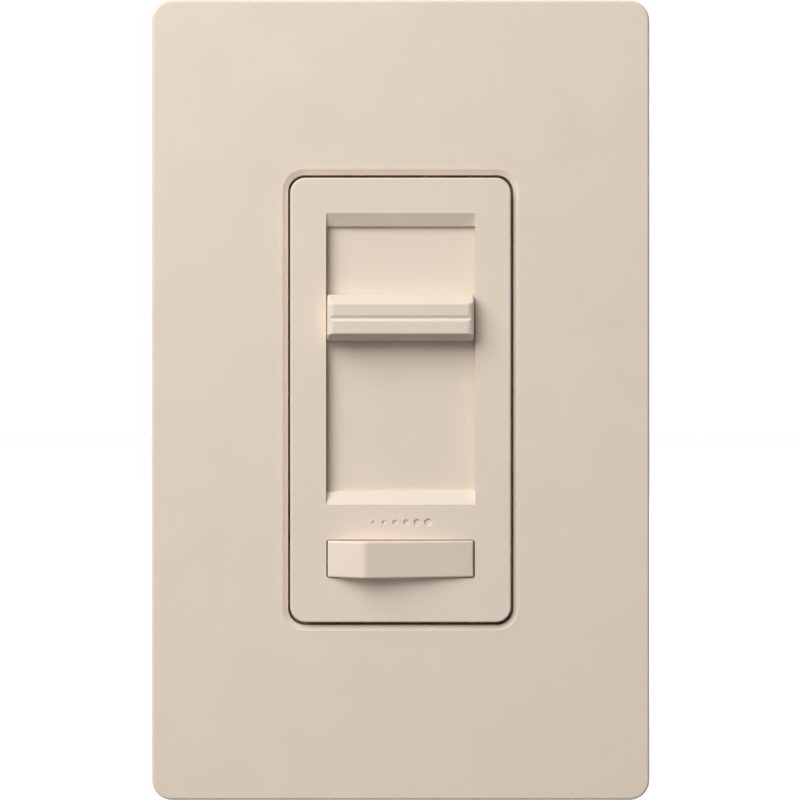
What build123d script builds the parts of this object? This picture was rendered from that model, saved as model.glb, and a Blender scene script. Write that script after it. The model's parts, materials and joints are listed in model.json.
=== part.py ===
from build123d import *
import os
from math import atan, cos, degrees, radians, sin

# Slide dimmer for a wall box. Millimetres. +X is right and +Z is up as seen by a person facing the wall.
# The origin is on the wall's surface at the centre of the plate: the front has negative Y,
# and whatever stands inside the wall box has positive Y.

# ---- driving dimensions ----

# cover plate
plate_width = 74.7
plate_height = 120.0
plate_depth = 7.6
plate_corner_r = 3.0
plate_edge_r = 0.45
plate_wall = 1.8
plate_front_wall = 2.4
opening_width = 33.8
opening_height = 67.55
opening_corner_r = 2.5
lip_width = 0.8
lip_depth = 0.34
collar_wall = 1.2
collar_back_y = -3.7
plate_snap_z = 36.0

# bezel that fills the opening
bezel_width = 33.0
bezel_height = 66.5
bezel_corner_r = 2.3
bezel_edge_r = 0.25
bezel_face_y = -8.35
bezel_face_wall = 1.2
bezel_side_wall = 1.8
level_mark_dots = 6
level_mark_pitch = 1.65
level_mark_r = (0.25, 0.6)
level_mark_depth = 0.2
level_mark_z = -18.3

# slider's recess
window_width = 22.3
window_top = 27.95
window_bottom = -15.65
window_slope = 1.9
window_slope_depth = 0.92
floor_y = -6.85
wing_relief = 0.55
track_wall = 1.1

# slider knob
knob_width = 21.8
knob_height = 6.8
knob_front_y = -11.1
knob_top_bevel = (1.45, 1.6)
knob_bottom_bevel = (0.92, 1.5)
knob_end_bevel = (0.55, 0.52)
knob_end_r = 1.3
knob_groove_width = 0.95
knob_groove_depth = 0.18
knob_groove_z = -0.2
knob_edge_r = 0.3
knob_wing_x = 13.5
knob_wing_y = (-7.45, -7.1)
knob_wing_height = 5.4
knob_leg_x = 12.2
knob_leg_height = 4.8
knob_leg_y = -2.3
knob_z = 12.3
slider_up = 10.0
slider_down = 22.0

# rocker
rocker_z = -23.75
rocker_width = 21.8
rocker_height = 5.5
rocker_opening = (22.2, 5.75)
rocker_ridge_x = -5.4
rocker_ridge_rise = 2.8
rocker_end_rise = 0.25
rocker_ridge_r = 1.7
rocker_edge_r = 0.32
rocker_pivot_y = -6.3
rocker_pin_r = 0.6
rocker_travel_deg = 10.0

# mounting strap
yoke_wall = 1.6
yoke_width = 63.0
yoke_fin_height = 70.0
yoke_ear_width = 25.0
yoke_length = 106.4
fin_score_x = 22.6
box_screw_spacing = 83.3
plate_screw_spacing = 96.84
screw_r = 1.75
screw_pitch = 0.794
screw_head_r = 3.4
box_screw_length = 25.4
retainer_y = (0.05, 0.45)

# adapter under the cover plate
adapter_front_y = -3.2
adapter_gap = 0.3

# rear housing
cover_width = 43.0
cover_height = 66.0
cover_depth = 27.5
cover_wall = 1.8
post_x = 17.2
post_z = 28.7
post_r = 2.6
rivet_r = 1.2
label_size = (30.0, 14.0)
label_z = 16.0

# circuit board and what stands on it
board_y = 9.6
board_wall = 1.6

# choke on the board
choke_x = -8.0
choke_z = 15.5
choke_ring_r = 7.6
choke_core_r = 2.6
choke_wire_r = 0.48
choke_turns = 20
choke_gap_deg = 40.0

# heat sink tab of the power semiconductor
triac_x = 10.5
triac_z = 12.3
triac_rivet_z = 16.8
triac_rivet_r = 1.5

# slide potentiometer
pot_width = 9.0
pot_length = 46.0
pot_y = (0.4, 7.0)
pot_wall = 0.6
lever_width = 1.2
lever_height = 4.0

# snap switch
arm_pivot_y = 8.6
leg_tip_y = 4.0
leg_width = 1.6

# bezel's snap legs
snap_x = 13.4
snap_z = 27.0

# low-end trim
trim_x = -14.2
trim_z = -18.5
trim_r = 4.5
trim_y = (-2.9, -1.9)
trim_shaft_r = 1.4

# wiring terminals
terminal_z = (16.0, -6.0, -16.0)
terminal_side = (1, 1, -1)
terminal_pocket = (9.0, 10.5)
terminal_pocket_depth = 2.6
terminal_y = 11.0

window_height = window_top - window_bottom
window_z = (window_top + window_bottom) / 2
slider_mid_z = knob_z + (slider_up - slider_down) / 2
slider_travel = slider_up + slider_down
board_back = board_y + board_wall
terminal_inner_x = cover_width / 2 - terminal_pocket_depth


# ---- shapes used by many parts ----

def at_depth(y):
    """Plane facing forward at depth y: its x is right and its y is up."""
    return Plane(origin=(0, y, 0), x_dir=(1, 0, 0), z_dir=(0, -1, 0))


def slab(width, height, y_front, y_back, x=0.0, z=0.0, corner_r=0.0):
    outline = RectangleRounded(width, height, corner_r) if corner_r else Rectangle(width, height)
    return extrude(at_depth(y_back) * Pos(x, z) * outline, amount=y_back - y_front)


def block(x_range, y_range, z_range):
    size = [high - low for low, high in (x_range, y_range, z_range)]
    middle = [(high + low) / 2 for low, high in (x_range, y_range, z_range)]
    return Pos(*middle) * Box(*size)


def rod(radius, y_front, y_back, x=0.0, z=0.0):
    return extrude(at_depth(y_back) * Pos(x, z) * Circle(radius), amount=y_back - y_front)


def rod_x(radius, x_low, x_high, y, z):
    return Pos((x_low + x_high) / 2, y, z) * Rot(0, 90, 0) * Cylinder(radius, x_high - x_low)


def rod_z(radius, z_low, z_high, x, y):
    return Pos(x, y, (z_low + z_high) / 2) * Cylinder(radius, z_high - z_low)


def across(points, x_low, x_high):
    """Prism along X from an outline of (y, z) points."""
    return extrude(Plane.YZ.offset(x_low) * make_face(Polyline(*points, close=True)), amount=x_high - x_low)


def upright(points, z_low, z_high):
    """Prism along Z from an outline of (x, y) points."""
    return extrude(Plane.XY.offset(z_low) * make_face(Polyline(*points, close=True)), amount=z_high - z_low)


def turned(points):
    """Solid of revolution about Y from an outline of (radius, y) points."""
    return revolve(make_face(Polyline(*points, close=True)), axis=Axis.Y)


def thread_points(radius, pitch, y_start, y_end):
    """Outline of thread crests and roots from y_start to y_end."""
    depth = 0.55 * pitch
    turns = int((y_end - y_start) / pitch)
    points = []
    for turn in range(turns):
        y = y_start + turn * pitch
        points += [(radius, y), (radius, y + 0.2 * pitch), (radius - depth, y + 0.6 * pitch)]
    return points, y_start + turns * pitch


def machine_screw(head_points, head_base_y, radius, plain, length, tip=0.6):
    """Screw along Y: the head is in front of head_base_y and the shank behind it."""
    threads, y_last = thread_points(radius, screw_pitch, head_base_y + plain, head_base_y + length - tip)
    outline = head_points + [(radius, head_base_y)] + threads
    outline += [(radius - 0.3, y_last), (radius - 0.7, y_last + tip), (0, y_last + tip)]
    return turned(outline)


def slot_drive(depth, y_top, width=0.9, reach=8.0):
    return block((-reach / 2, reach / 2), (y_top - 0.1, y_top + depth), (-width / 2, width / 2))


def mirrored_x(solid):
    return mirror(solid, about=Plane.YZ)


def front_edges(solid):
    return solid.faces().sort_by(Axis.Y)[0].edges()


# ---- cover plate and its adapter ----

def wallplate():
    shell = slab(plate_width, plate_height, -plate_depth, 0, corner_r=plate_corner_r)
    shell = fillet(front_edges(shell), plate_edge_r)
    inside_width = plate_width - 2 * plate_wall
    inside_height = plate_height - 2 * plate_wall
    inner_y = -plate_depth + plate_front_wall
    shell -= slab(inside_width, inside_height, inner_y, 1, corner_r=1.4)
    shell += slab(opening_width + 2 * collar_wall, opening_height + 2 * collar_wall,
                  inner_y, collar_back_y, corner_r=opening_corner_r + collar_wall)
    shell += wallplate_ribs(inner_y)
    shell -= slab(opening_width, opening_height, -plate_depth - 1, 1, corner_r=opening_corner_r)
    shell -= opening_lip()
    for side in (-1, 1):
        for z in (-plate_snap_z, plate_snap_z):
            shell += snap_ridge(side, z, inside_width / 2)
    pry_slot = slab(9.0, 2 * plate_wall + 0.6, -1.2, 1, z=-plate_height / 2)
    return shell - pry_slot


def opening_lip():
    """Flared cut that gives the opening its sloped lip."""
    lip_angle = degrees(atan(lip_width / lip_depth))
    outline = RectangleRounded(opening_width, opening_height, opening_corner_r)
    return extrude(at_depth(-plate_depth + lip_depth) * outline, amount=lip_depth, taper=-lip_angle)


def wallplate_ribs(inner_y):
    """Stiffening ribs between the collar and the side walls, on the back of the front wall."""
    rib_wall = 1.0
    rib_y = inner_y + 0.9
    ribs = []
    for z in (-22, 0, 22):
        for side in (-1, 1):
            ribs.append(slab(17.5, rib_wall, inner_y, rib_y, x=side * 27.0, z=z))
    for x in (-12, 12):
        for side in (-1, 1):
            ribs.append(slab(rib_wall, 22.5, inner_y, rib_y, x=x, z=side * 46.6))
    return ribs


def snap_ridge(side, z, wall_x):
    """Wedge inside the plate's long wall that catches behind the adapter's edge."""
    tip_x = wall_x - 0.6
    ridge = upright([(wall_x, -0.3), (tip_x, -0.9), (tip_x, -1.2), (wall_x, -1.5)], z - 5, z + 5)
    return ridge if side > 0 else mirrored_x(ridge)


def wallplate_adapter():
    width = plate_width - 2 * plate_wall - 2 * adapter_gap
    height = plate_height - 2 * plate_wall - 2 * adapter_gap
    rim_wall = 1.5
    plate = slab(width, height, adapter_front_y, 0, corner_r=1.2)
    plate -= slab(width - 2 * rim_wall, height - 2 * rim_wall, -yoke_wall - 0.02, 1, corner_r=0.6)
    for z in (-plate_screw_spacing / 2, plate_screw_spacing / 2):
        plate += slab(12, 8, adapter_front_y - 0.9, adapter_front_y, z=z, corner_r=1.5)
    plate -= slab(opening_width + 0.9, opening_height + 0.9, -6, 1, corner_r=opening_corner_r)
    plate -= slab(5.5, 11.0, -6, 1, x=-opening_width / 2 - 0.6, z=trim_z, corner_r=0.8)
    for side in (-1, 1):
        plate -= rod(4.2, -6, 1, z=side * box_screw_spacing / 2)
        plate -= countersink(adapter_front_y - 0.9, side * plate_screw_spacing / 2)
        for z in (-plate_snap_z, plate_snap_z):
            plate -= slab(1.2, 12, -1.7, 1, x=side * width / 2, z=z)
    for x in (-26, 26):
        for z in (-22, 22):
            plate -= slab(8, 14, -6, 1, x=x, z=z, corner_r=1.0)
    return plate


def countersink(face_y, z):
    """Hole for an oval-head 6-32 screw, open at face_y."""
    bore_r = screw_r + 0.15
    cone = [(screw_head_r + 0.25, -0.2), (screw_head_r + 0.05, 0), (bore_r, 1.7)]
    return Pos(0, face_y, z) * turned([(0, -0.2)] + cone + [(bore_r, 6), (0, 6)])


def adapter_screws():
    head_y = adapter_front_y - 0.9
    head = [(0, -0.7), (1.2, -0.62), (2.4, -0.35), (screw_head_r, 0)]
    screw = machine_screw(head, 1.68, screw_r, 1.2, 8.0)
    screw -= slot_drive(0.9, -0.7)
    return [Pos(0, head_y, side * plate_screw_spacing / 2) * screw for side in (-1, 1)]


# ---- mounting strap ----

def yoke():
    ear_tip_r = 4.0
    strap = slab(yoke_width, yoke_fin_height, -yoke_wall, 0, corner_r=1.2)
    strap += slab(yoke_ear_width, yoke_length, -yoke_wall, 0, corner_r=ear_tip_r)
    strap -= slab(2 * 1.3, slider_travel + lever_height + 0.8, -3, 1, z=slider_mid_z)
    strap -= slab(6.0, 5.0, -3, 1, z=rocker_z, corner_r=0.5)
    strap -= rod(trim_shaft_r + 0.15, -3, 1, x=trim_x, z=trim_z)
    for x in (-post_x, post_x):
        for z in (-post_z, post_z):
            strap -= rivet_hole(x, z)
    for x in (-snap_x, snap_x):
        for z in (-snap_z, snap_z):
            strap -= slab(2.0, 4.4, -3, 1, x=x, z=z)
    for side in (-1, 1):
        strap -= slab(2 * screw_r + 3.4, 2 * screw_r + 0.5, -3, 1, z=side * box_screw_spacing / 2,
                      corner_r=screw_r + 0.24)
        strap -= rod(screw_r + 0.03, -3, 1, z=side * plate_screw_spacing / 2)
        strap -= fin_score(side * fin_score_x)
        for z in (-28, -14, 0, 14, 28):
            strap -= slab(1.2, 5.0, -3, 1, x=side * fin_score_x, z=z, corner_r=0.5)
    strap -= rod(triac_rivet_r + 0.05, -3, 1, x=triac_x, z=triac_rivet_z)
    strap += ground_tab()
    return strap


def rivet_hole(x, z):
    bore_r = rivet_r + 0.05
    outline = [(0, -0.2), (2.1, -0.2), (2.1, 0), (bore_r, 0.8), (bore_r, 3), (0, 3)]
    return Pos(x, -yoke_wall, z) * turned(outline)


def fin_score(x):
    """V groove across the front face along which a fin snaps off."""
    return upright([(x - 0.5, -yoke_wall), (x + 0.5, -yoke_wall), (x, -yoke_wall + 0.6)], -40, 40)


def ground_tab():
    """Tab bent back from the strap's lower edge, tapped for the grounding screw."""
    tab = block((-19, -10), (-yoke_wall, 9), (-36.2, -34.6))
    return tab - rod_z(screw_r + 0.03, -40, -30, -14.5, 4.2)


def box_screws():
    """Captive screws: a thin neck behind the head lets them hang loose in the strap and its retainer."""
    neck_r = 1.4
    neck_end = yoke_wall + 0.2
    shank_y = yoke_wall + retainer_y[1]
    plain = 2.6
    head = [(0, -2.3), (1.6, -2.2), (2.7, -1.85), (screw_head_r, -1.1), (screw_head_r, 0)]
    neck = [(neck_r, 0), (neck_r, neck_end)]
    screw = machine_screw(head + neck, shank_y, screw_r, plain, box_screw_length - shank_y)
    screw -= slot_drive(1.2, -2.3)
    return [Pos(0, -yoke_wall, side * box_screw_spacing / 2) * screw for side in (-1, 1)]


def screw_retainers():
    return [slab(7.5, 7.5, *retainer_y, z=side * box_screw_spacing / 2, corner_r=0.6)
            - rod(screw_r + 0.02, -1, 2, z=side * box_screw_spacing / 2) for side in (-1, 1)]


# ---- bezel, slider's recess and slider ----

def bezel():
    face_back = bezel_face_y + bezel_face_wall
    shell = slab(bezel_width, bezel_height, bezel_face_y, -yoke_wall, corner_r=bezel_corner_r)
    shell = fillet(front_edges(shell), bezel_edge_r)
    shell -= slab(bezel_width - 2 * bezel_side_wall, bezel_height - 2 * bezel_side_wall,
                  face_back, 0, corner_r=0.8)
    shell += recess_ends(face_back)
    shell -= recess_cut()
    wing_slot_width = 3.4
    for side in (-1, 1):
        shell -= slab(wing_slot_width, window_height - 2 * window_slope, face_back - wing_relief,
                      face_back + 0.01, x=side * (window_width / 2 + 1.6), z=window_z)
    shell += rocker_bosses(face_back)
    shell -= slab(rocker_opening[0], rocker_opening[1], bezel_face_y - 1, face_back + 0.01,
                  z=rocker_z, corner_r=0.4)
    pin_reach = rocker_height / 2 + 1.3
    shell -= rod_z(rocker_pin_r + 0.05, rocker_z - pin_reach, rocker_z + pin_reach, 0, rocker_pivot_y)
    shell -= slab(3.0, 10.0, trim_y[0] - 0.3, 0, x=-bezel_width / 2 + 0.5, z=trim_z)
    shell -= level_mark()
    for x in (-snap_x, snap_x):
        for z in (-snap_z, snap_z):
            shell += snap_leg(x, z, face_back)
    return shell


def recess_ends(face_back):
    """Solid backing for the sloped walls at the top and bottom of the recess."""
    width = window_width + 3.0
    top = slab(width, 4.6, face_back - 0.1, floor_y, z=window_top - window_slope + 2.0)
    bottom = slab(width, 4.6, face_back - 0.1, floor_y, z=window_bottom + window_slope - 2.0)
    return [top, bottom]


def recess_cut():
    front = bezel_face_y - 1
    behind = floor_y + 0.2
    slope_end_y = bezel_face_y + window_slope_depth
    overrun = window_slope / window_slope_depth
    outline = [
        (front, window_top + overrun),
        (slope_end_y, window_top - window_slope),
        (behind, window_top - window_slope),
        (behind, window_bottom + window_slope),
        (slope_end_y, window_bottom + window_slope),
        (front, window_bottom - overrun),
    ]
    return across(outline, -window_width / 2, window_width / 2)


def rocker_bosses(face_back):
    """Bearing blocks for the rocker's pins, behind the face above and below its opening."""
    bosses = []
    for side in (-1, 1):
        z = rocker_z + side * (rocker_opening[1] / 2 + 0.85)
        bosses.append(slab(4.0, 1.7, face_back - 0.1, -4.8, z=z))
    return bosses


def level_mark():
    """Row of engraved dots that grow towards the right, a plain sign for dimming."""
    small, large = level_mark_r
    dots = []
    for dot in range(level_mark_dots):
        share = dot / (level_mark_dots - 1)
        x = (dot - (level_mark_dots - 1) / 2) * level_mark_pitch
        radius = small + share * (large - small)
        dots.append(rod(radius, bezel_face_y - 1, bezel_face_y + level_mark_depth, x=x, z=level_mark_z))
    return dots


def snap_leg(x, z, face_back):
    inner = 1.0 if x > 0 else -1.0
    leg = slab(1.2, 3.6, face_back - 0.1, 2.0, x=x, z=z)
    leg += upright([(x, 0.3), (x + inner * 1.1, 0.3), (x + inner * 0.6, 2.0), (x, 2.0)], z - 1.8, z + 1.8)
    return leg


def track_plate():
    top = window_top - window_slope + 3.6
    bottom = window_bottom + window_slope - 3.6
    plate = slab(window_width + 1.6, top - bottom, floor_y, floor_y + track_wall,
                 z=(top + bottom) / 2, corner_r=0.5)
    for x in (-8, 8):
        for z in (top - 1.4, bottom + 1.4):
            plate -= rod(0.7, floor_y + 0.5, 0, x=x, z=z)
    return plate


def slider_knob():
    base_y = floor_y - 0.3
    body = across(knob_side_outline(base_y), -knob_width / 2, knob_width / 2)
    body = body & knob_rounded_plan(base_y)
    groove_reach = knob_groove_width / 2 + 0.02
    outer = [edge for edge in body.edges()
             if edge.center().Y < base_y - 0.1 and abs(edge.center().Z - knob_groove_z) > groove_reach]
    body = fillet(outer, knob_edge_r)
    body += slab(2 * knob_wing_x, knob_wing_height, *knob_wing_y)
    for side in (-1, 1):
        body += knob_leg() if side > 0 else mirrored_x(knob_leg())
    return Pos(0, 0, knob_z) * body


def knob_side_outline(base_y):
    """Outline of the knob from the side: bevels above and below, and a groove across the face."""
    top = knob_height / 2
    top_run, top_depth = knob_top_bevel
    low_run, low_depth = knob_bottom_bevel
    groove = knob_groove_width / 2
    return [
        (base_y, top),
        (knob_front_y + top_depth, top),
        (knob_front_y, top - top_run),
        (knob_front_y, knob_groove_z + groove),
        (knob_front_y + knob_groove_depth, knob_groove_z),
        (knob_front_y, knob_groove_z - groove),
        (knob_front_y, -top + low_run),
        (knob_front_y + low_depth, -top),
        (base_y, -top),
    ]


def knob_rounded_plan(base_y):
    """Prism of the knob's outline from above: each end falls away in a bevel with a wide rounding."""
    half = knob_width / 2
    run, depth = knob_end_bevel
    outline = [
        (-half, base_y),
        (-half, knob_front_y + depth),
        (-half + run, knob_front_y),
        (half - run, knob_front_y),
        (half, knob_front_y + depth),
        (half, base_y),
    ]
    prism = upright(outline, -knob_height / 2, knob_height / 2)
    bevel_starts = [edge for edge in prism.edges().filter_by(Axis.Z) if edge.center().Y < knob_front_y + 0.01]
    return fillet(bevel_starts, knob_end_r)


def knob_leg():
    """Leg at the wing's end that reaches back past the track plate, with a foot to snap on the carriage."""
    half = knob_leg_height / 2
    leg = block((knob_leg_x, knob_wing_x), (knob_wing_y[0], knob_leg_y), (-half, half))
    return leg + block((knob_leg_x - 0.9, knob_leg_x + 0.1), (knob_leg_y - 0.66, knob_leg_y), (-half, half))


def slider_carriage():
    plate = slab(23.8, 7.6, -4.0, -3.0, corner_r=0.8)
    plate -= slab(lever_width + 0.3, lever_height + 0.3, -5, 0)
    for x in (-6, 6):
        plate += slab(3.0, 7.6, -3.0, -2.4, x=x, corner_r=0.5)
    return Pos(0, 0, knob_z) * plate


# ---- slide potentiometer ----

def slide_pot_frame():
    """Folded steel channel, open at the back where the wafer closes it."""
    front, back = pot_y
    case = slab(pot_width, pot_length, front, back, z=slider_mid_z, corner_r=0.6)
    case -= slab(pot_width - 2 * pot_wall, pot_length - 2 * pot_wall, front + pot_wall, back + 1,
                 z=slider_mid_z)
    case -= slab(lever_width + 1.0, slider_travel + lever_height + 0.8, front - 1, front + 1, z=slider_mid_z)
    for side in (-1, 1):
        tab_z = slider_mid_z + side * (pot_length - pot_wall) / 2
        case += slab(2.0, pot_wall, back - 0.1, board_y, x=side * 2.4, z=tab_z)
    return case


def slide_pot_wafer():
    width = pot_width - 2 * pot_wall - 0.1
    length = pot_length - 2 * pot_wall - 0.1
    return slab(width, length, pot_y[1] - 1.1, pot_y[1], z=slider_mid_z)


def slide_pot_terminals():
    pins = []
    for x, end in ((-2, -1), (0, 1), (2, -1)):
        pin_z = slider_mid_z + end * (pot_length / 2 - 4)
        pins.append(slab(0.8, 0.4, pot_y[1] + 0.01, board_y - 0.01, x=x, z=pin_z))
    return pins


def slide_pot_lever():
    shoe = slab(6.8, 7.4, 1.3, 4.2)
    shoe += slab(lever_width, lever_height, -4.0, 1.4)
    return Pos(0, 0, knob_z) * shoe


def slide_pot_wiper():
    wiper = []
    for x in (-1.6, 1.6):
        strip = [(4.25, 2.6), (4.5, 2.6), (4.5, 0.4), (5.6, -1.6), (5.4, -1.75), (4.25, 0.3)]
        wiper.append(across(strip, x - 0.5, x + 0.5))
    wiper.append(slab(5.2, 1.2, 4.22, 4.5, z=2.6))
    joined = wiper[0] + wiper[1] + wiper[2]
    return Pos(0, 0, knob_z) * joined


# ---- rocker and snap switch ----

def rocker_button():
    half = rocker_width / 2
    end_y = bezel_face_y - rocker_end_rise
    ridge_y = bezel_face_y - rocker_ridge_rise
    back_y = rocker_pivot_y + 1.1
    skirt = 0.5
    plan = [
        (-half, end_y),
        (rocker_ridge_x, ridge_y),
        (half, end_y),
        (half, rocker_pivot_y + skirt),
        (half - 1.5, back_y),
        (-half + 1.5, back_y),
        (-half, rocker_pivot_y + skirt),
    ]
    low, high = rocker_z - rocker_height / 2, rocker_z + rocker_height / 2
    button = upright(plan, low, high)
    ridge = button.edges().filter_by(Axis.Z).sort_by(Axis.Y)[0]
    button = fillet(ridge, rocker_ridge_r)
    button = fillet(rocker_rim(button, end_y), rocker_edge_r)
    pin_end = 1.1
    button += rod_z(rocker_pin_r, low - pin_end, high + pin_end, 0, rocker_pivot_y)
    return button + rocker_leg()


def rocker_rim(button, end_y):
    """Edges all round the rocker's front."""
    rim = []
    for edge in button.edges():
        middle = edge.center()
        on_long_side = abs(abs(middle.Z - rocker_z) - rocker_height / 2) < 0.01 and middle.Y < end_y - 0.01
        on_end = abs(abs(middle.X) - rocker_width / 2) < 0.01 and abs(middle.Y - end_y) < 0.01
        if on_long_side or on_end:
            rim.append(edge)
    return rim


def rocker_leg():
    """Driver that reaches back through the strap to the switch, upright at mid travel."""
    length = leg_tip_y - rocker_pivot_y
    leg = block((-leg_width / 2, leg_width / 2), (0.5, length), (-1.5, 1.5))
    tilt = rocker_travel_deg / 2
    return Pos(0, rocker_pivot_y, rocker_z) * Rot(0, 0, tilt) * leg


def arm_tilt():
    """The switch arm's angle at rest, in degrees, so that its fork follows the rocker's leg."""
    leg = leg_tip_y - rocker_pivot_y
    fork = arm_pivot_y - leg_tip_y
    return rocker_travel_deg / 2 * leg / fork


def placed_arm(solid):
    return Pos(0, arm_pivot_y, rocker_z) * Rot(0, 0, -arm_tilt()) * solid


def switch_arm():
    """Sheet bronze lever: a fork round the leg's tip in front, a pivot, and a contact pad behind."""
    fork_inside = leg_width / 2 + 0.35
    wall = 0.7
    fork_front = leg_tip_y - arm_pivot_y - 1.2
    hub_r = 1.5
    body = Cylinder(hub_r, 3.0)
    for side in (-1, 1):
        inner, outer = sorted((side * fork_inside, side * (fork_inside + wall)))
        body += block((inner, outer), (fork_front, -1.6), (-1.5, 1.5))
    body += block((-fork_inside - wall, fork_inside + wall), (-2.2, -1.3), (-1.5, 1.5))
    body += block((-0.5, 0.5), (1.0, 7.0), (-1.5, 1.5))
    body -= Cylinder(0.65, 4.0)
    return placed_arm(body)


def switch_arm_contact():
    pads = rod_x(1.1, 0.52, 1.0, 5.8, 0)
    return placed_arm(pads)


def arm_point(x, y):
    """Where a point of the upright arm is at rest, in X and Y."""
    angle = radians(-arm_tilt())
    return x * cos(angle) - y * sin(angle), arm_pivot_y + x * sin(angle) + y * cos(angle)


def switch_base():
    """Moulded block behind the arm: it carries the pivot pin and the fixed contact."""
    low, high = rocker_z - 1.6, rocker_z + 1.6
    base = block((-5.5, 8.0), (3.2, 18.5), (low - 2.4, high + 2.4))
    base -= block((-4.3, 6.6), (3.1, 17.3), (low - 0.4, high + 0.4))
    base -= block((-4.3, 6.6), (3.1, 17.3), (low - 3, low + 0.1))
    base += rod_z(0.55, rocker_z - 4.0, high + 2.0, 0, arm_pivot_y)
    return base - block((-6, 9), (board_y, board_y + board_wall), (low - 3, high + 3))


def switch_fixed_contact():
    x, y = arm_point(1.0, 5.8)
    stud = Pos(x + 0.06, y, rocker_z) * Rot(0, 0, -arm_tilt()) * rod_x(1.1, 0, 0.5, 0, 0)
    blade = Pos(x + 0.06, y, rocker_z) * Rot(0, 0, -arm_tilt()) * block((0.5, 1.0), (-2.4, 2.0), (-1.4, 1.4))
    return stud + blade


# ---- low-end trim ----

def trim_wheel():
    wheel = rod(trim_r, trim_y[0], trim_y[1])
    teeth = 30
    notch = rod(0.22, trim_y[0] - 1, trim_y[1] + 1, x=trim_r + 0.05)
    for tooth in range(teeth):
        wheel -= Rot(0, tooth * 360 / teeth, 0) * notch
    wheel -= block((-0.35, 0.35), (trim_y[0] - 1, trim_y[0] + 0.4), (0.8, trim_r + 1))
    wheel += rod(trim_shaft_r, trim_y[1] - 0.1, 1.5)
    return Pos(trim_x, 0, trim_z) * wheel


def trim_pot_body():
    body = slab(8.4, 8.4, 0.15, 4.4, x=trim_x, z=trim_z, corner_r=0.8)
    body -= rod(trim_shaft_r + 0.08, 0, 1.8, x=trim_x, z=trim_z)
    for x in (-2.5, 0, 2.5):
        body += slab(0.6, 0.4, 4.3, board_y - 0.02, x=trim_x + x, z=trim_z + 3.4)
    return body


# ---- circuit ----

def circuit_board():
    width = cover_width - 2 * cover_wall - 0.8
    height = cover_height - 2 * cover_wall - 0.8
    board = slab(width, height, board_y, board_y + board_wall)
    for x in (-post_x, post_x):
        for z in (-post_z, post_z):
            board -= slab(2 * post_r + 3.4, 2 * post_r + 3.4, 0, 20, x=x * 1.03, z=z * 1.03)
    board -= slab(13.9, 8.4, 0, 20, x=1.25, z=rocker_z)
    for side, z in zip(terminal_side, terminal_z):
        board -= slab(7.0, terminal_pocket[1] + 2 * cover_wall + 0.8, 0, 20, x=side * (width / 2), z=z)
    return board


def triac():
    tab = slab(10.0, 15.4, 0.36, 1.66, x=triac_x, z=triac_z)
    tab -= rod(triac_rivet_r + 0.05, 0, 3, x=triac_x, z=triac_rivet_z)
    body = slab(10.0, 9.0, 0.36, 4.8, x=triac_x, z=triac_z - 3.1)
    part = tab + body
    end_y = board_y - 0.02
    bent_lead = [(2.4, 4.8), (2.9, 4.8), (2.9, 2.3), (end_y, 2.3), (end_y, 1.8), (2.4, 1.8)]
    for x in (-2.54, 0, 2.54):
        part += across(bent_lead, triac_x + x - 0.4, triac_x + x + 0.4)
    return part


def triac_insulator():
    sheet = slab(12.6, 18.0, 0.02, 0.34, x=triac_x + 0.5, z=triac_z, corner_r=0.8)
    return sheet - rod(triac_rivet_r + 0.05, -1, 2, x=triac_x, z=triac_rivet_z)


def triac_rivet():
    front_y = -yoke_wall - 0.02
    head_r = 2.4
    outline = [(0, -2.3), (1.6, -2.1), (head_r, front_y), (triac_rivet_r, front_y),
               (triac_rivet_r, 1.7), (head_r, 1.7), (1.6, 2.3), (0, 2.3)]
    return Pos(triac_x, 0, triac_rivet_z) * turned(outline)


def choke_place():
    """Where the choke lies on the board: its ring's axis is along Y."""
    wound_r = choke_core_r + 2 * choke_wire_r
    return Pos(choke_x, board_back + wound_r + 0.4, choke_z) * Rot(90, 0, 0)


def choke_core():
    return choke_place() * Torus(choke_ring_r, choke_core_r)


def choke_winding():
    """Turns of wire side by side round the core, with a gap between the first and the last."""
    turn = Pos(choke_ring_r, 0, 0) * Rot(90, 0, 0) * Torus(choke_core_r + choke_wire_r + 0.04, choke_wire_r)
    first = choke_gap_deg / 2
    step = (360 - choke_gap_deg) / (choke_turns - 1)
    return [choke_place() * Rot(0, 0, first + step * index) * turn for index in range(choke_turns)]


def film_capacitor_large():
    return film_capacitor(17.5, 9.0, 12.6, 15.0, x=-7.0, z=-12.0)


def film_capacitor_small():
    return film_capacitor(10.5, 6.0, 9.6, 7.5, x=9.5, z=24.0)


def film_capacitor(width, height, depth, pin_spacing, x, z):
    can = slab(width, height, board_back + 0.4, board_back + 0.4 + depth, x=x, z=z)
    can = fillet(can.edges(), 0.6)
    return can + [rod(0.3, board_back + 0.01, board_back + 0.9, x=x + side * pin_spacing / 2, z=z)
                  for side in (-1, 1)]


def varistor():
    x, z = 9.5, 12.0
    disc = Pos(x, board_back + 6.6, z) * Cylinder(5.2, 3.6)
    disc = fillet(disc.edges(), 0.9)
    return disc + [rod(0.35, board_back + 0.01, board_back + 3.5, x=x + side * 2.5, z=z) for side in (-1, 1)]


def axial_part(x, z, radius, length):
    body = Pos(x, board_back + radius + 0.5, z) * Cylinder(radius, length)
    body = fillet(body.edges(), radius * 0.35)
    for end in (-1, 1):
        y = board_back + radius + 0.5
        lead_z = z + end * (length / 2 + 1.2)
        root_z = z + end * (length / 2 - 0.3)
        body += rod_z(0.28, min(lead_z, root_z), max(lead_z, root_z), x, y)
        body += rod(0.28, board_back + 0.01, y + 0.28, x=x, z=lead_z)
    return body


def resistors():
    return [axial_part(x, -1.0, 1.2, 6.3) for x in (3.0, 6.5, 10.0, 13.5)]


def diodes():
    return [axial_part(x, -23.0, 1.0, 4.2) for x in (11.5, 14.5)]


# ---- rear housing ----

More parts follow.
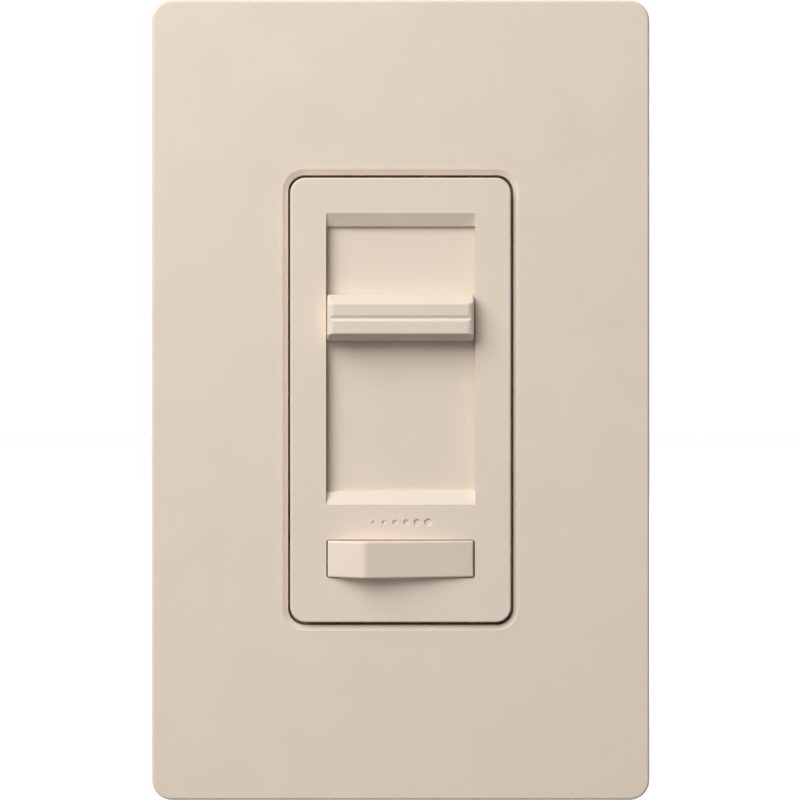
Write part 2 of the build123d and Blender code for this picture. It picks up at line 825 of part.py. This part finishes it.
def back_cover():
    shell = slab(cover_width, cover_height, 0.02, cover_depth, corner_r=2.0)
    back_face = shell.faces().sort_by(Axis.Y)[-1]
    shell = fillet(back_face.edges(), 1.0)
    shell -= slab(cover_width - 2 * cover_wall, cover_height - 2 * cover_wall, -1, cover_depth - cover_wall,
                  corner_r=1.0)
    for side in (-1, 1):
        for z in (-post_z, post_z):
            shell += rivet_post(side, z)
            shell -= rod(rivet_r + 0.05, -1, 14.0, x=side * post_x, z=z)
    for side, z in zip(terminal_side, terminal_z):
        shell = terminal_pocket_shell(shell, side, z)
    for x in (-9, 9):
        for row in range(4):
            shell -= slab(12, 1.4, cover_depth - 3, cover_depth + 1, x=x, z=-8 - 4 * row, corner_r=0.6)
    return shell - label_recess()


def rivet_post(side, z):
    """Post that takes a rivet, with a web to the nearest side wall."""
    end_y = cover_depth - 1.0
    web = slab(3.2, 1.2, 0.02, end_y, x=side * (post_x + 2.25), z=z)
    return rod(post_r, 0.02, end_y, x=side * post_x, z=z) + web


def label_recess():
    width, height = label_size
    return slab(width + 0.4, height + 0.4, cover_depth - 0.3, cover_depth + 1, z=label_z, corner_r=1.0)


def terminal_pocket_shell(shell, side, z):
    """Pocket in the side wall, open outwards, where a wiring terminal sits."""
    y_size, z_size = terminal_pocket
    y_low, y_high = terminal_y - y_size / 2, terminal_y + y_size / 2
    z_low, z_high = z - z_size / 2, z + z_size / 2
    outer = cover_width / 2
    inner = terminal_inner_x
    wall = block((inner - cover_wall, outer - 0.5), (y_low - cover_wall, y_high + cover_wall),
                 (z_low - cover_wall, z_high + cover_wall))
    pocket = block((inner, outer + 1), (y_low, y_high), (z_low, z_high))
    hole = rod_x(screw_r + 0.05, inner - 5, outer, terminal_y, z)
    if side < 0:
        wall, pocket, hole = mirrored_x(wall), mirrored_x(pocket), mirrored_x(hole)
    return shell + wall - pocket - hole


def cover_rivets():
    rivet = turned([(0, 0.02), (2.02, 0.02), (rivet_r, 0.8), (rivet_r, 13.0), (0, 13.0)])
    return [Pos(x, -yoke_wall, z) * rivet for x in (-post_x, post_x) for z in (-post_z, post_z)]


def back_label():
    return slab(*label_size, cover_depth - 0.28, cover_depth - 0.1, z=label_z, corner_r=0.8)


# ---- wiring terminals ----

def terminal_plates():
    plates = []
    x_range = (terminal_inner_x + 0.01, terminal_inner_x + 0.95)
    y_half = terminal_pocket[0] / 2 - 0.3
    z_half = terminal_pocket[1] / 2 - 0.3
    for side, z in zip(terminal_side, terminal_z):
        plate = block(x_range, (terminal_y - y_half, terminal_y + y_half), (z - z_half, z + z_half))
        plate -= rod_x(screw_r + 0.03, 0, 30, terminal_y, z)
        plates.append(plate if side > 0 else mirrored_x(plate))
    return plates


def terminal_screw(side, z):
    """Binding-head screw along X, head outwards."""
    head = [(0, -1.9), (2.2, -1.75), (3.2, -1.3), (3.6, -0.9), (3.6, 0)]
    screw = machine_screw(head, 0, screw_r, 1.0, 3.6)
    screw -= slot_drive(1.0, -1.9)
    return Pos(side * (terminal_inner_x + 0.97), terminal_y, z) * Rot(0, 0, side * 90) * screw


def terminal_screws_brass():
    return [terminal_screw(side, z) for side, z in zip(terminal_side, terminal_z) if side > 0]


def terminal_screw_black():
    return [terminal_screw(side, z) for side, z in zip(terminal_side, terminal_z) if side < 0]


def ground_screw():
    """Hex-head grounding screw along Z, head below the strap's tab."""
    hex_head = extrude(at_depth(0) * RegularPolygon(3.7, 6), amount=1.8)
    head = [(0, 0), (3.3, 0), (3.3, 0.25)]
    shank = machine_screw(head, 0.25, screw_r, 0.6, 2.4, tip=0.5)
    screw = hex_head + shank
    screw -= slot_drive(0.9, -1.8)
    return Pos(-14.5, 4.2, -36.45) * Rot(90, 0, 0) * screw


# ---- every node is one file ----

NODES = (
    wallplate, wallplate_adapter, adapter_screws,
    yoke, box_screws, screw_retainers,
    bezel, track_plate, slider_knob, slider_carriage,
    slide_pot_frame, slide_pot_wafer, slide_pot_terminals, slide_pot_lever, slide_pot_wiper,
    rocker_button, switch_arm, switch_arm_contact, switch_base, switch_fixed_contact,
    trim_wheel, trim_pot_body,
    circuit_board, triac, triac_insulator, triac_rivet, choke_core, choke_winding,
    film_capacitor_large, film_capacitor_small, varistor, resistors, diodes,
    back_cover, cover_rivets, back_label,
    terminal_plates, terminal_screws_brass, terminal_screw_black, ground_screw,
)

os.makedirs("parts", exist_ok=True)
for make in NODES:
    shape = make()
    solids = shape if isinstance(shape, list) else [shape]
    node = Compound(children=[solid for piece in solids for solid in piece.solids()])
    node.label = make.__name__
    export_step(node, f"parts/{make.__name__}.step")
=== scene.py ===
import json
from math import radians

import bpy
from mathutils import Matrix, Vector


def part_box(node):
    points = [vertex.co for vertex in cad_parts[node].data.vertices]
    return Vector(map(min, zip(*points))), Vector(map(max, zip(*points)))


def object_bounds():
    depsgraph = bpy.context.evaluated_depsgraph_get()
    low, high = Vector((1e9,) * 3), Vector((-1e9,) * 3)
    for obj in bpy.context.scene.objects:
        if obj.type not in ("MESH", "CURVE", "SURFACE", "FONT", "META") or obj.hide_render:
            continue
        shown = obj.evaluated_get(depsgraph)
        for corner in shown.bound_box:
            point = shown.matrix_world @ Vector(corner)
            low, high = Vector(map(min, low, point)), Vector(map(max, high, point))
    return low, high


# The looks of a wall dimmer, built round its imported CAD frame. Metres, the frame's own axes:
# +X right, +Z up, and the face a person sees points along -Y.

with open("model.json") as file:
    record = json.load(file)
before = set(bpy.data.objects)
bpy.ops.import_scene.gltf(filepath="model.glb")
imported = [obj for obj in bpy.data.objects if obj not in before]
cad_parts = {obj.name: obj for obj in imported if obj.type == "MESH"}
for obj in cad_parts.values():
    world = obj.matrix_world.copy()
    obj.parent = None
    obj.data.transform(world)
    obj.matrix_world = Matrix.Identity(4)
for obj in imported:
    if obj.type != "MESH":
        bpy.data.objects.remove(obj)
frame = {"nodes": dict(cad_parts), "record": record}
cad_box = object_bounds()

MM = 0.001
MICRON = 0.000001

# ---- colours, as sRGB bytes ----

ALMOND = (229, 213, 195)
ALMOND_SHADE = (224, 210, 192)
ALMOND_INNER = (222, 207, 188)
ALUMINIUM = (184, 187, 191)
ZINC = (196, 199, 203)
BRASS = (214, 176, 104)
BRONZE = (201, 141, 92)
COPPER = (188, 92, 46)
FIBRE = (142, 66, 50)
BLACK = (30, 30, 32)
GREEN = (28, 112, 58)
STUDIO_WHITE = (242, 242, 241)


# ---- shader building ----

def linear(srgb):
    """Linear RGBA of an sRGB colour given in bytes."""
    values = [byte / 255 for byte in srgb]
    return [v / 12.92 if v <= 0.04045 else ((v + 0.055) / 1.055) ** 2.4 for v in values] + [1.0]


def shaded(color, factor):
    """A linear colour made darker or lighter."""
    return [min(1.0, channel * factor) for channel in color[:3]] + [1.0]


class Shader:
    """A material with its Principled shader, and short calls that add nodes to it."""

    def __init__(self, name, roughness=0.5, metallic=0.0, **sockets):
        self.material = bpy.data.materials.new(name)
        self.material.use_nodes = True
        self.tree = self.material.node_tree
        self.bsdf = self.tree.nodes["Principled BSDF"]
        self.bsdf.inputs["Roughness"].default_value = roughness
        self.bsdf.inputs["Metallic"].default_value = metallic
        for socket, value in sockets.items():
            self.bsdf.inputs[socket.replace("_", " ")].default_value = value
        self.coordinates = self.add("ShaderNodeTexCoord").outputs["Object"]
        self.height = None

    def add(self, kind, **inputs):
        """A new node of that kind, its named inputs fed; an underscore stands for a space."""
        node = self.tree.nodes.new(kind)
        for socket, value in inputs.items():
            self.feed(node.inputs[socket.replace("_", " ")], value)
        return node

    def feed(self, socket, value):
        """Links a socket to another node's output, or sets it to a constant."""
        if isinstance(value, bpy.types.NodeSocket):
            self.tree.links.new(value, socket)
        else:
            socket.default_value = value

    def stretched(self, stretch):
        """Coordinates scaled along each axis, so that a texture looks drawn out."""
        mapping = self.add("ShaderNodeMapping", Vector=self.coordinates, Scale=stretch)
        return mapping.outputs["Vector"]

    def noise(self, size, detail=3.0, stretch=(1, 1, 1), rough=0.5):
        """Noise whose features are about size metres across."""
        node = self.add("ShaderNodeTexNoise", Vector=self.stretched(stretch), Scale=1 / size,
                        Detail=detail, Roughness=rough)
        return node.outputs["Fac"]

    def cells(self, size, stretch=(1, 1, 1)):
        """Round cells about size metres apart."""
        node = self.add("ShaderNodeTexVoronoi", Vector=self.stretched(stretch), Scale=1 / size)
        return node.outputs["Distance"]

    def ranged(self, value, low, high, from_low=0.3, from_high=0.7):
        """Value taken from the range from_low to from_high, where noise mostly lies, to low to high."""
        node = self.add("ShaderNodeMapRange", Value=value, From_Min=from_low, From_Max=from_high,
                        To_Min=low, To_Max=high)
        return node.outputs["Result"]

    def mixed(self, factor, first, second):
        """Mix of two colours; a mix node has its colours on inputs 6 and 7, and on output 2."""
        node = self.add("ShaderNodeMix")
        node.data_type = "RGBA"
        self.feed(node.inputs[0], factor)
        self.feed(node.inputs[6], first)
        self.feed(node.inputs[7], second)
        return node.outputs[2]

    def color(self, value):
        self.feed(self.bsdf.inputs["Base Color"], value)

    def tinted(self, value, base, dark, light):
        """The base colour, from dark times as bright to light times as bright, as value rises."""
        self.color(self.mixed(self.ranged(value, 0, 1), shaded(base, dark), shaded(base, light)))

    def roughness(self, value):
        self.feed(self.bsdf.inputs["Roughness"], value)

    def bump(self, value, distance):
        """Adds relief of about distance metres on top of what is there."""
        node = self.add("ShaderNodeBump", Height=value, Distance=distance)
        if self.height is not None:
            self.tree.links.new(self.height, node.inputs["Normal"])
        self.height = node.outputs["Normal"]
        self.tree.links.new(self.height, self.bsdf.inputs["Normal"])


# ---- materials ----

def moulded_plastic(name, srgb, roughness=0.42, grain=0.16 * MM, relief=1.2 * MICRON, clouding=0.02):
    """Satin moulded plastic: fine mould grain, slow sheen changes and very slight clouding."""
    m = Shader(name, IOR=1.5)
    m.tinted(m.noise(9 * MM, 4), linear(srgb), 1 - clouding, 1 + clouding / 2)
    m.roughness(m.ranged(m.noise(6 * MM, 5), roughness - 0.04, roughness + 0.05))
    m.bump(m.noise(grain, 2), relief)
    m.bump(m.noise(14 * MM, 1), 12 * MICRON)
    return m.material


def textured_plastic(name, srgb, roughness=0.5, relief=8 * MICRON, painted_grain_shading=(0.82, 1.35)):
    """Spark-eroded plastic, as on a housing: pebbled grain, with painted shade in its hollows and a
    painted highlight on its peaks.
    """
    m = Shader(name, IOR=1.5)
    grain = m.noise(0.45 * MM, 4, rough=0.6)
    # painted shade and highlight: the colour follows the grain's height, darker in the hollows and
    # lighter on the peaks
    m.tinted(grain, linear(srgb), *painted_grain_shading)
    m.roughness(m.ranged(m.noise(5 * MM, 4), roughness - 0.06, roughness + 0.08))
    m.bump(grain, relief * 3)
    m.bump(m.noise(20 * MM, 1), 20 * MICRON)
    return m.material


def rolled_metal(name, srgb, roughness=0.34, lines=(18, 18, 1), smudge=0.1):
    """Sheet metal with rolling lines, drawn out along Z by default, small scuffs and a dulled bloom."""
    m = Shader(name, metallic=1.0)
    rolling = m.noise(1.2 * MM, 4, stretch=lines)
    m.tinted(m.noise(11 * MM, 5, rough=0.6), linear(srgb), 1 - smudge, 1)
    m.roughness(m.ranged(rolling, roughness - 0.07, roughness + 0.08))
    m.bump(rolling, 5 * MICRON)
    m.bump(m.cells(2.4 * MM, stretch=(1, 1, 0.3)), 3 * MICRON)
    return m.material


def plated_metal(name, srgb, roughness=0.3, metallic=1.0):
    """Plated or passivated fastener: slight orange peel and uneven sheen."""
    m = Shader(name, metallic=metallic)
    m.tinted(m.noise(1.6 * MM, 4), linear(srgb), 0.86, 1.05)
    m.roughness(m.ranged(m.noise(0.9 * MM, 4), roughness - 0.07, roughness + 0.12))
    m.bump(m.noise(0.35 * MM, 3), 4 * MICRON)
    return m.material


def fibre(name, srgb):
    """Vulcanised fibre: matte, with short strands in the sheet."""
    m = Shader(name, roughness=0.8)
    strands = m.noise(0.5 * MM, 5, stretch=(3, 1, 1), rough=0.65)
    m.tinted(strands, linear(srgb), 0.7, 1.3)
    m.bump(strands, 20 * MICRON)
    return m.material


def board(name):
    """Circuit board: green solder mask over copper tracks, with the weave just showing."""
    m = Shader(name, roughness=0.32)
    in_millimetres = (1 / MM, 1 / MM, 1 / MM)
    tracks = m.add("ShaderNodeTexBrick", Vector=m.stretched(in_millimetres), Scale=0.32,
                   Mortar_Size=0.035, Color1=linear((22, 92, 48)), Color2=linear((26, 104, 54)),
                   Mortar=linear((14, 64, 34)))
    m.color(tracks.outputs["Color"])
    m.bump(m.noise(0.7 * MM, 2, stretch=(1, 1, 4)), 6 * MICRON)
    m.bump(tracks.outputs["Fac"], -30 * MICRON)
    return m.material


def dipped(name, srgb, roughness=0.25, relief=30 * MICRON):
    """Dipped or cast coating, glossy and slightly uneven."""
    m = Shader(name)
    m.tinted(m.noise(2.5 * MM, 4), linear(srgb), 0.85, 1.12)
    m.roughness(m.ranged(m.noise(1.5 * MM, 3), roughness - 0.05, roughness + 0.1))
    m.bump(m.noise(3 * MM, 2), relief)
    return m.material


def banded(name, srgb, bands):
    """Small axial component with coloured rings along Z."""
    m = Shader(name, roughness=0.4)
    wave = m.add("ShaderNodeTexWave", Vector=m.coordinates, Scale=0.32 / MM)
    wave.bands_direction = "Z"
    m.color(m.mixed(m.ranged(wave.outputs["Fac"], 0, 1, 0.72, 0.78), linear(srgb), linear(bands)))
    m.bump(m.noise(0.8 * MM, 3), 15 * MICRON)
    return m.material


def label_sheet(name):
    """Blank paper label with a faint speckle."""
    m = Shader(name, roughness=0.45)
    speckle = m.noise(0.6 * MM, 4)
    m.color(m.mixed(m.ranged(speckle, 0, 1), linear((206, 206, 202)), linear((222, 222, 218))))
    m.bump(speckle, 4 * MICRON)
    return m.material


def enamelled_wire(name):
    """Copper wire under clear enamel: a glossy coat with darker runs in it."""
    m = Shader(name, metallic=0.9, Coat_Weight=0.6, Coat_Roughness=0.12)
    runs = m.noise(1.5 * MM, 3)
    m.tinted(runs, linear(COPPER), 0.7, 1.25)
    m.roughness(m.ranged(runs, 0.25, 0.42))
    m.bump(runs, 15 * MICRON)
    return m.material


# each key is a material slot in the record
MATERIALS = {
    "plate_plastic": moulded_plastic("plate_plastic", ALMOND),
    "bezel_plastic": moulded_plastic("bezel_plastic", ALMOND, roughness=0.44),
    "knob_plastic": moulded_plastic("knob_plastic", ALMOND, roughness=0.4),
    "adapter_plastic": textured_plastic("adapter_plastic", ALMOND_INNER, relief=1.5 * MICRON,
                                        painted_grain_shading=(0.96, 1.03)),
    "strap_aluminium": rolled_metal("strap_aluminium", ALUMINIUM),
    "zinc_steel": plated_metal("zinc_steel", ZINC),
    "painted_screw": plated_metal("painted_screw", ALMOND_SHADE, roughness=0.38, metallic=0.0),
    "rivet_aluminium": plated_metal("rivet_aluminium", ALUMINIUM, roughness=0.36),
    "fibre": fibre("fibre", FIBRE),
    "housing_plastic": textured_plastic("housing_plastic", BLACK),
    "switch_plastic": moulded_plastic("switch_plastic", (222, 218, 206), roughness=0.38),
    "trim_plastic": moulded_plastic("trim_plastic", (232, 230, 220), roughness=0.35),
    "trim_body": dipped("trim_body", (34, 74, 150)),
    "wafer_laminate": fibre("wafer_laminate", (108, 66, 38)),
    "board_laminate": board("board_laminate"),
    "tin": plated_metal("tin", (205, 206, 206)),
    "bronze": plated_metal("bronze", BRONZE, roughness=0.28),
    "silver": plated_metal("silver", (232, 230, 226), roughness=0.2),
    "brass": plated_metal("brass", BRASS, roughness=0.26),
    "black_screw": plated_metal("black_screw", (44, 44, 47), roughness=0.42, metallic=0.6),
    "green_screw": plated_metal("green_screw", GREEN, roughness=0.32, metallic=0.7),
    "epoxy_black": textured_plastic("epoxy_black", (36, 36, 38), roughness=0.42),
    "insulator_sheet": fibre("insulator_sheet", (178, 176, 170)),
    "ferrite": dipped("ferrite", (206, 186, 92), roughness=0.4),
    "magnet_wire": enamelled_wire("magnet_wire"),
    "capacitor_case": dipped("capacitor_case", (214, 160, 44), roughness=0.35, relief=10 * MICRON),
    "varistor_coat": dipped("varistor_coat", (46, 92, 160)),
    "resistor_body": banded("resistor_body", (206, 176, 132), (120, 60, 36)),
    "diode_glass": banded("diode_glass", (196, 104, 64), (30, 30, 32)),
    "label_paper": label_sheet("label_paper"),
}

for part in frame["record"]["subparts"]:
    node = frame["nodes"][part["node"]]
    for material_slot in node.material_slots:
        material_slot.material = MATERIALS[part["material_slot"]]


# ---- camera: straight on, level with the plate's centre and a hair left of it ----

FACE_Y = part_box("bezel")[0].y
CAMERA_DISTANCE = 300 * MM
CAMERA_X = -0.09 * MM
VIEW_WIDTH = 119.6 * MM
SENSOR = 36.0


def make_camera():
    data = bpy.data.cameras.new("camera")
    camera = bpy.data.objects.new("camera", data)
    bpy.context.scene.collection.objects.link(camera)
    camera.location = (CAMERA_X, FACE_Y - CAMERA_DISTANCE, 0)
    camera.rotation_euler = (radians(90), 0, 0)
    data.sensor_width = SENSOR
    data.lens = SENSOR * CAMERA_DISTANCE / VIEW_WIDTH
    data.clip_start = 10 * MM
    bpy.context.scene.camera = camera


# ---- floor, backdrop and lights ----

FLOOR_GAP = 0.3 * MM
FLOOR_Z = cad_box[0][2] - FLOOR_GAP
STUDIO_REACH = 3.0
SURROUND = 0.06
FLOOR_GLOW = 0.8
BACKDROP_GLOW = 1.0

REAR_DIRECTION = Vector((0.7, 0.9, 0.6)).normalized()
REAR_DISTANCE = 0.9
REAR_SIZE = 0.7
REAR_POWER = 4.0

KEY_DIRECTION = Vector((-0.74, -1.0, 0.94)).normalized()
KEY_DISTANCE = 0.85
KEY_SIZE = 0.84
KEY_POWER = 10.1


def unseen_by_diffuse(stage_piece):
    """The white studio shows and reflects, but its bounce doesn't wash out the object's shading."""
    stage_piece.visible_diffuse = False
    stage_piece.visible_shadow = False


def glowing(name, strength):
    """Matte white that gives off some light of its own."""
    m = Shader(name, roughness=0.9)
    m.color(linear(STUDIO_WHITE))
    m.bsdf.inputs["Emission Color"].default_value = (1, 1, 1, 1)
    m.bsdf.inputs["Emission Strength"].default_value = strength
    m.bump(m.noise(4 * MM, 3), 20 * MICRON)
    return m.material


def make_floor():
    mesh = bpy.data.meshes.new("floor")
    ends = (-STUDIO_REACH, STUDIO_REACH)
    corners = [(x, y, FLOOR_Z) for x in ends for y in ends]
    mesh.from_pydata(corners, [], [(0, 2, 3, 1)])
    mesh.materials.append(glowing("floor", FLOOR_GLOW))
    floor = bpy.data.objects.new("floor", mesh)
    bpy.context.scene.collection.objects.link(floor)
    unseen_by_diffuse(floor)


def make_backdrop():
    """White ball far round the object."""
    bpy.ops.mesh.primitive_uv_sphere_add(radius=STUDIO_REACH, segments=48, ring_count=24)
    ball = bpy.context.object
    ball.name = "backdrop"
    ball.data.materials.append(glowing("backdrop", BACKDROP_GLOW))
    unseen_by_diffuse(ball)


def area_light(name, direction, distance, size, power, seen=True):
    """Round light that looks at the origin from the given direction."""
    data = bpy.data.lights.new(name, "AREA")
    data.shape = "DISK"
    data.size = size
    data.energy = power
    light = bpy.data.objects.new(name, data)
    bpy.context.scene.collection.objects.link(light)
    light.location = direction * distance
    light.rotation_euler = (-direction).to_track_quat("-Z", "Y").to_euler()
    light.visible_camera = seen


def make_lights():
    world = bpy.data.worlds.new("studio")
    bpy.context.scene.world = world
    world.use_nodes = True
    background = world.node_tree.nodes["Background"]
    background.inputs["Color"].default_value = (1, 1, 1, 1)
    background.inputs["Strength"].default_value = SURROUND
    area_light("key", KEY_DIRECTION, KEY_DISTANCE, KEY_SIZE, KEY_POWER)
    area_light("rear", REAR_DIRECTION, REAR_DISTANCE, REAR_SIZE, REAR_POWER, seen=False)


make_camera()
make_floor()
make_backdrop()
make_lights()
bpy.context.scene.view_settings.view_transform = "Standard"
